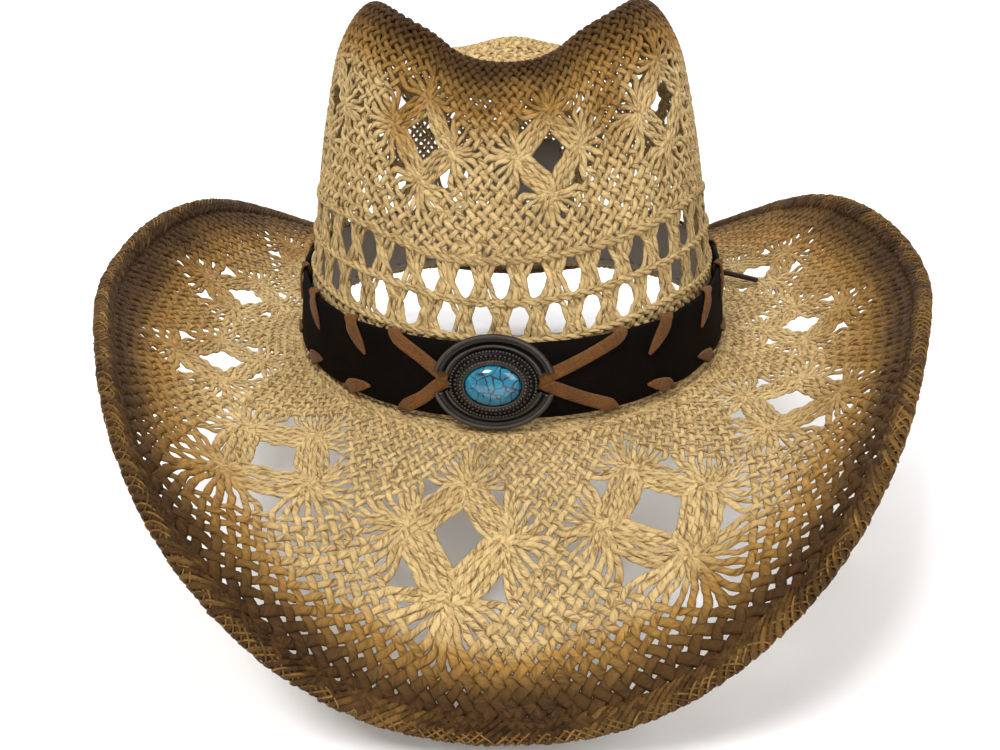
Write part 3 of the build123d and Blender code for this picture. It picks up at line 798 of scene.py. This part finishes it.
LABEL_HEIGHTS, LABEL_HALF_TURN, LABEL_THICK = (34.5, 44, 54, 63.5), 0.305, 0.4
label_outline = [(FACE_OUT, high) for high in LABEL_HEIGHTS]
label_outline += [(FACE_OUT - LABEL_THICK, high) for high in LABEL_HEIGHTS[::-1]]
wall_section("inner_label_visual", label_outline, np.pi + np.linspace(-LABEL_HALF_TURN, LABEL_HALF_TURN, 41),
             LABEL, "label", "hat", "inner_label", closed=False)

# -------------------------------- hatband
GAP, HIDE = 1.7, 2.0
FACE = GAP + HIDE
BAND_LOW, BAND_HIGH = 2.4, 29.4
BAND_MIDDLE = (BAND_LOW + BAND_HIGH) / 2
STITCH_DEGREES = [s * d for d in range(40, 167, 18) for s in (1, -1)]
STRAP_OUTLINE = [
    (FACE - 0.5, BAND_LOW), (FACE, BAND_LOW + 0.6), (FACE, 6), (FACE, 11), (FACE, 15), (FACE, 19), (FACE, 24),
    (FACE, BAND_HIGH - 0.6), (FACE - 0.5, BAND_HIGH), (GAP + 0.4, BAND_HIGH), (GAP, BAND_HIGH - 0.6),
    (GAP, 22), (GAP, 15), (GAP, 8), (GAP, BAND_LOW + 0.6), (GAP + 0.4, BAND_LOW)]


def strap_relief(a, off, high):
    """The stitches pull the leather's edges in, and its face waves a little."""
    degrees = (np.degrees(a) + 180) % 360 - 180
    bite = np.zeros_like(a)
    for stitch in STITCH_DEGREES:
        bite = np.maximum(bite, np.exp(-((degrees - stitch) / 3.2) ** 2))
    edge = np.abs(high - BAND_MIDDLE) / (BAND_MIDDLE - BAND_LOW)
    high = high - np.sign(high - BAND_MIDDLE) * bite * edge ** 4 * 0.9
    wave = 0.22 * np.sin(a * 23 + high * 0.21) * (off > GAP + 1)
    return off + wave * (1 - edge ** 2), high


wall_section("leather_strap_visual", STRAP_OUTLINE, FINE_ANGLES, LEATHER, "dark_leather", "hatband",
             "leather_strap", relief=strap_relief)


def bent_path(points, count):
    """Smooth path through control points, at even steps of the control parameter."""
    points = np.array(points, float)
    points = np.concatenate([[2 * points[0] - points[1]], points, [2 * points[-1] - points[-2]]])
    t = np.linspace(0, len(points) - 3.0001, count)
    k = t.astype(int)
    return catmull(points[k], points[k + 1], points[k + 2], points[k + 3], (t - k)[:, None])


def lace_piece(controls, widths, count=44):
    """Flat lace through (degrees, height, offset) that turns over an edge of the strap as it goes."""
    degrees, high, off = bent_path(controls, count).T
    path, normal = wall(np.radians(degrees), high, off)
    up = unit(wall(np.radians(degrees), high + 1.0, off)[0] - path)
    over = np.where(high > BAND_MIDDLE, high - (BAND_HIGH - 0.6), (BAND_LOW + 0.6) - high)
    lift = np.clip(over, 0, 1) * np.where(high > BAND_MIDDLE, 1, -1)
    out = np.clip((off - (FACE + 0.5 + GAP - 0.7) / 2) / 1.2, -1, 1)
    normal = unit(normal * out[:, None] + up * lift[:, None] * 1.1)
    width = np.interp(np.linspace(0, 1, count), np.linspace(0, 1, len(widths)), widths)
    return path, normal, width


def laces_object(name, pieces, replaces):
    paths, normals, widths = (np.stack(column) for column in zip(*pieces))
    v, quads, uv = sweep(paths, normals, widths, 1.0, 10, power=0.34)
    mesh_object(name, v, quads, SUEDE, "rust_suede", "hatband", uv, replaces)


OUT, BACK = FACE + 0.62, 0.95
TURN_OVER = (OUT + BACK) / 2
TOP_WIDTHS = (0.8, 3.9, 5.6, 6.2, 5.6, 4.6, 4.0, 2.0)
LOW_WIDTHS = (0.8, 3.6, 5.2, 5.8, 5.2, 4.4, 4.0, 2.0)
CROSS_WIDTHS = (4.6, 5.0, 4.9, 5.1, 4.9, 4.9, 4.4)
CROSS_LEVEL = 16.2
rng = np.random.default_rng(11)
top_pieces, low_pieces = [], []
for place in STITCH_DEGREES:
    s = 1 if place > 0 else -1
    change = rng.normal(0, 0.5, 4)
    reach, lean = 11.0 + change[0], 5.6 + 0.7 * change[1]
    top_pieces.append(lace_piece([
        (place - s * lean, BAND_HIGH - reach, FACE + 0.15),
        (place - s * lean * 0.62, BAND_HIGH - reach * 0.6, OUT),
        (place - s * lean * 0.22, BAND_HIGH - 2.2, OUT), (place, BAND_HIGH + 0.75, TURN_OVER),
        (place + s * 0.3, BAND_HIGH - 2.2, BACK), (place + s * 0.6, BAND_HIGH - 6.0, BACK)], TOP_WIDTHS))
    reach, lean = 4.6 + 0.6 * change[2], 7.0 + 0.7 * change[3]
    low_pieces.append(lace_piece([
        (place - s * lean, BAND_LOW + reach, FACE + 0.15),
        (place - s * lean * 0.6, BAND_LOW + reach * 0.78, OUT),
        (place - s * lean * 0.18, BAND_LOW + 1.9, OUT), (place + s * 0.4, BAND_LOW - 0.62, TURN_OVER),
        (place + s * 0.8, BAND_LOW + 2.2, BACK), (place + s * 0.9, BAND_LOW + 5.5, BACK)], LOW_WIDTHS))
laces_object("top_whipstitches_visual", top_pieces, "top_whipstitches")
laces_object("lower_whipstitches_visual", low_pieces, "lower_whipstitches")

for s, side in ((1, "right"), (-1, "left")):
    rising = lace_piece([
        (s * 10.2 - 3, CROSS_LEVEL + 0.6, OUT + 0.2), (s * 13.0 - 2.6, CROSS_LEVEL + 2.6, OUT + 0.15),
        (s * 19.0 - 1, CROSS_LEVEL + 7.0, OUT), (s * 25.5, BAND_HIGH - 1.6, OUT),
        (s * 27.0, BAND_HIGH + 0.7, TURN_OVER), (s * 27.6, BAND_HIGH - 2.4, BACK),
        (s * 27.8, BAND_HIGH - 5.5, BACK)], CROSS_WIDTHS, 70)
    falling = lace_piece([
        (s * 10.2 - 3, CROSS_LEVEL - 0.4, OUT), (s * 13.0 - 2.6, CROSS_LEVEL - 2.6, OUT),
        (s * 18.0 - 1, CROSS_LEVEL - 7.6, OUT), (s * 22.8, BAND_LOW + 2.0, OUT),
        (s * 24.4, BAND_LOW - 0.62, TURN_OVER), (s * 25.0, BAND_LOW + 2.4, BACK),
        (s * 25.2, BAND_LOW + 5.5, BACK)], CROSS_WIDTHS, 70)
    laces_object("cross_lace_%s_visual" % side, [rising, falling], "cross_lace_" + side)

# -------------------------------- concho
# It is drawn in its own axes: x across, y up and z out of its seat on the strap.
CONCHO_HEIGHT = 12.2
CONCHO_TURN = math.radians(-3.0)
concho_level = CONCHO_HEIGHT - float(brim_line(np.array(CONCHO_TURN)))
SEAT, ZAX = wall(CONCHO_TURN, concho_level, FACE)
XAX = wall(CONCHO_TURN + 0.01, concho_level)[0] - wall(CONCHO_TURN - 0.01, concho_level)[0]
XAX = unit(XAX - ZAX * (XAX @ ZAX))
YAX = np.cross(ZAX, XAX)
PLATE, MEDAL = 1.4, 2.2
TOP = PLATE + MEDAL
PLATE_PROFILE = [
    (15.0, 12.0, 0.0), (21.2, 17.0, 0.0), (21.6, 17.4, 0.5), (21.2, 17.0, 1.1), (20.2, 16.1, 1.4),
    (18.9, 14.9, 1.35), (18.4, 14.4, 0.75), (17.2, 13.4, 0.75), (16.8, 13.0, 1.4), (15.0, 12.0, 1.4)]
PLATE_GAP, ROPE_GAP, ARC_POINTS = 15.5, 14.0, 220
STONE_HALF_WIDTH, STONE_HALF_TALL, STONE_DOME = 9.95, 7.45, 4.2


def on_concho(local):
    local = np.asarray(local, float)
    return SEAT + local[..., :1] * XAX + local[..., 1:2] * YAX + local[..., 2:3] * ZAX


def turned(profile, t):
    """Points of (half width, half height, z) carried round an oval at the angles t."""
    wide, tall, z = np.array(profile, float).T
    rows = [np.cos(t)[:, None] * wide, np.sin(t)[:, None] * tall, np.repeat(z[None], len(t), 0)]
    return on_concho(np.stack(rows, -1))


def oval_piece(name, profile, replaces, material=METAL, slot="dark_bronze", closed_profile=False):
    """Oval turned piece; the profile runs out from the middle and back to it, or is a closed loop."""
    count = 180
    quads = grid(count, len(profile), True, closed_profile)[:, [0, 3, 2, 1]]
    mesh_object(name, turned(profile, TURN * np.arange(count) / count), quads, material, slot, "hatband",
                replaces=replaces)


def bead_ring(name, half_w, half_h, z, radius, count, squash=1.0):
    """Ring of small domed beads at even steps round an oval."""
    meridians, rings = 8, 6
    u, v = np.meshgrid(np.arange(meridians) * TURN / meridians, np.linspace(0, np.pi, rings), indexing="ij")
    ball = np.stack([np.sin(v) * np.cos(u), np.sin(v) * np.sin(u), np.cos(v)], -1).reshape(-1, 3) * radius
    dense = np.linspace(0, TURN, 2001)
    steps = np.hypot(np.diff(half_w * np.cos(dense)), np.diff(half_h * np.sin(dense)))
    arc = np.concatenate([[0], np.cumsum(steps)])
    t = np.interp(np.arange(count) / count * arc[-1], arc, dense)
    centre = np.stack([half_w * np.cos(t), half_h * np.sin(t), np.full(count, z)], -1)
    points = centre[:, None] + ball[None] * np.array([1, 1, squash])
    quads = np.arange(count)[:, None, None] * len(ball) + grid(meridians, rings, True, False)
    mesh_object(name, on_concho(points), quads, METAL, "dark_bronze", "hatband")


def rope_arcs(name, half_w, half_h, z, radius, thick, twists):
    """Rope edges above and below, open at both sides for the laces."""
    plies = []
    axis = np.array([0, 0, 1.0])
    for start in (ROPE_GAP, 180 + ROPE_GAP):
        t = np.radians(np.linspace(start, start + 180 - 2 * ROPE_GAP, ARC_POINTS))
        centre = np.stack([half_w * np.cos(t), half_h * np.sin(t), np.full_like(t, z)], -1)
        out = np.cross(unit(np.gradient(centre, axis=0)), axis)
        for ply in (0, np.pi):
            spin = np.linspace(0, TURN * twists, ARC_POINTS) + ply
            swing = out * (np.cos(spin) * radius)[:, None] + axis * (np.sin(spin) * radius)[:, None]
            plies.append(on_concho(centre + swing))
    paths = np.stack(plies)
    v, quads, uv = sweep(paths, np.broadcast_to(ZAX, paths.shape), thick, thick, 7)
    mesh_object(name, v, quads, METAL, "dark_bronze", "hatband", uv)


def plate_arcs():
    """Outer plate: top and bottom arcs with a groove, open at the sides."""
    count, m = 110, len(PLATE_PROFILE)
    arcs = []
    for start in (PLATE_GAP, 180 + PLATE_GAP):
        arcs.append(turned(PLATE_PROFILE, np.radians(np.linspace(start, start + 180 - 2 * PLATE_GAP, count))))
    quads = shell(count, m, False)[:, [0, 3, 2, 1]]
    mesh_object("concho_plate_visual", arcs, [quads, quads + count * m], METAL, "dark_bronze", "hatband",
                replaces="concho_plate")


plate_arcs()
rope_arcs("concho_outer_rope", 20.7, 16.6, 1.35, 0.5, 0.95, 36)
rope_arcs("concho_inner_rope", 16.9, 13.2, 1.45, 0.36, 0.7, 36)
oval_piece("concho_medallion_visual", [
    (0.01, 0.01, TOP), (11.2, 8.6, TOP), (12.6, 10.0, TOP - 0.25), (13.0, 10.3, TOP + 0.1),
    (13.5, 10.8, TOP + 0.1), (14.6, 11.6, TOP - 0.6), (15.4, 12.4, TOP - 1.4), (15.5, 12.5, 0.2),
    (14.0, 11.0, 0.05), (0.01, 0.01, 0.05)], "concho_medallion")
bead_ring("concho_studs", 13.2, 10.4, TOP + 0.1, 0.52, 46, 0.9)
bead_ring("concho_marks", 12.3, 9.6, TOP, 0.34, 64, 1.2)
bead_ring("concho_rim_beads", 14.9, 11.9, TOP - 0.6, 0.5, 72, 0.9)
oval_piece("stone_bezel_visual", [
    (10.0, 7.5, TOP), (11.8, 9.2, TOP), (11.9, 9.3, TOP + 0.7), (11.3, 8.7, TOP + 1.3),
    (10.5, 7.95, TOP + 1.6), (10.0, 7.5, TOP + 1.5)], "stone_bezel", closed_profile=True)
bead_ring("bezel_beads", 11.4, 8.8, TOP + 1.15, 0.58, 52)
dome = [(0.01, 0.01, TOP + STONE_DOME)]
for q in np.linspace(0.06, 1.0, 16):
    out, up = math.sin(q * math.pi / 2), math.cos(q * math.pi / 2) ** 0.9
    dome.append((STONE_HALF_WIDTH * out, STONE_HALF_TALL * out, TOP + STONE_DOME * up))
dome += [(STONE_HALF_WIDTH, STONE_HALF_TALL, TOP + 0.02), (0.01, 0.01, TOP + 0.02)]
oval_piece("turquoise_visual", dome, "turquoise_stone", STONE, "turquoise")

# -------------------------------- tie knot
KNOT_LEVEL, KNOT_OUT, KNOT_WIDTH, KNOT_THICK = 14.0, 3.0, 2.6, 2.2


def knot():
    """A flat lace in a figure of eight with one turn round its middle."""
    centre, out = wall(np.pi, KNOT_LEVEL, FACE + KNOT_OUT)
    side = np.array([-1.0, 0, 0])
    up = np.cross(out, side)
    t = np.linspace(0, TURN, 160, endpoint=False)
    eight = np.stack([4.6 * np.sin(t) + 0.2 * np.sin(3 * t), 3.0 * np.sin(2 * t), 1.3 * np.cos(3 * t)], -1)
    wrap = np.stack([1.2 * np.sin(t), 3.1 * np.cos(t), 1.5 * np.sin(t) + 0.2], -1)
    rows = np.stack([eight, wrap])
    paths = centre + rows[..., :1] * side + rows[..., 1:2] * up + rows[..., 2:3] * out
    v, quads, uv = sweep(paths, np.broadcast_to(out, paths.shape), KNOT_WIDTH, KNOT_THICK, 8, closed=True)
    mesh_object("tie_knot_visual", v, quads, TIE, "dark_suede", "hatband", uv, "tie_knot")


knot()

# -------------------------------- floor and light, in metres
FLOOR_LEVEL, FLOOR_HALF_WIDTH, FLOOR_NEAR = -0.0775, 4.0, -3.0
WALL_START, WALL_RADIUS, WALL_HEIGHT = 0.9, 0.8, 4.0
FLOOR_GREY, FLOOR_ROUGHNESS, SKY_STRENGTH = 0.93, 0.9, 0.66


def backdrop():
    """Pale floor that curves up into a wall behind the hat."""
    line = [(FLOOR_NEAR, 0.0), (WALL_START, 0.0)]
    for t in np.linspace(0.1, math.pi / 2, 14):
        line.append((WALL_START + WALL_RADIUS * math.sin(t), WALL_RADIUS - WALL_RADIUS * math.cos(t)))
    line.append((WALL_START + WALL_RADIUS, WALL_HEIGHT))
    points = [(x, y, FLOOR_LEVEL + z) for y, z in line for x in (-FLOOR_HALF_WIDTH, FLOOR_HALF_WIDTH)]
    mesh = bpy.data.meshes.new("floor")
    mesh.from_pydata(points, [], [(2 * k, 2 * k + 1, 2 * k + 3, 2 * k + 2) for k in range(len(line) - 1)])
    for face in mesh.polygons:
        face.use_smooth = True
    mat, _, bsdf = nodes_of("floor")
    set_inputs(bsdf, Base_Color=(*grey(FLOOR_GREY), 1), Roughness=FLOOR_ROUGHNESS)
    mesh.materials.append(mat)
    obj = bpy.data.objects.new("floor", mesh)
    bpy.context.scene.collection.objects.link(obj)


def sky():
    world = bpy.data.worlds.new("studio")
    bpy.context.scene.world = world
    world.use_nodes = True
    set_inputs(world.node_tree.nodes["Background"], Color=(1, 1, 1, 1), Strength=SKY_STRENGTH)


def area(name, place, aim, size, power):
    data = bpy.data.lights.new(name, "AREA")
    data.size, data.energy = size, power
    obj = bpy.data.objects.new(name, data)
    obj.location = place
    obj.rotation_euler = (Vector(aim) - Vector(place)).to_track_quat("-Z", "Y").to_euler()
    bpy.context.scene.collection.objects.link(obj)


backdrop()
sky()
area("key", (-0.5, -0.9, 1.4), (0, 0, 0.05), 0.45, 21.0)
area("fill", (1.0, -0.8, 0.9), (0, 0, 0.03), 0.9, 8.0)
area("top", (0.1, 0.9, 1.6), (0, 0.7, 0.0), 1.2, 14.0)
bpy.context.scene.view_settings.view_transform = "Standard"
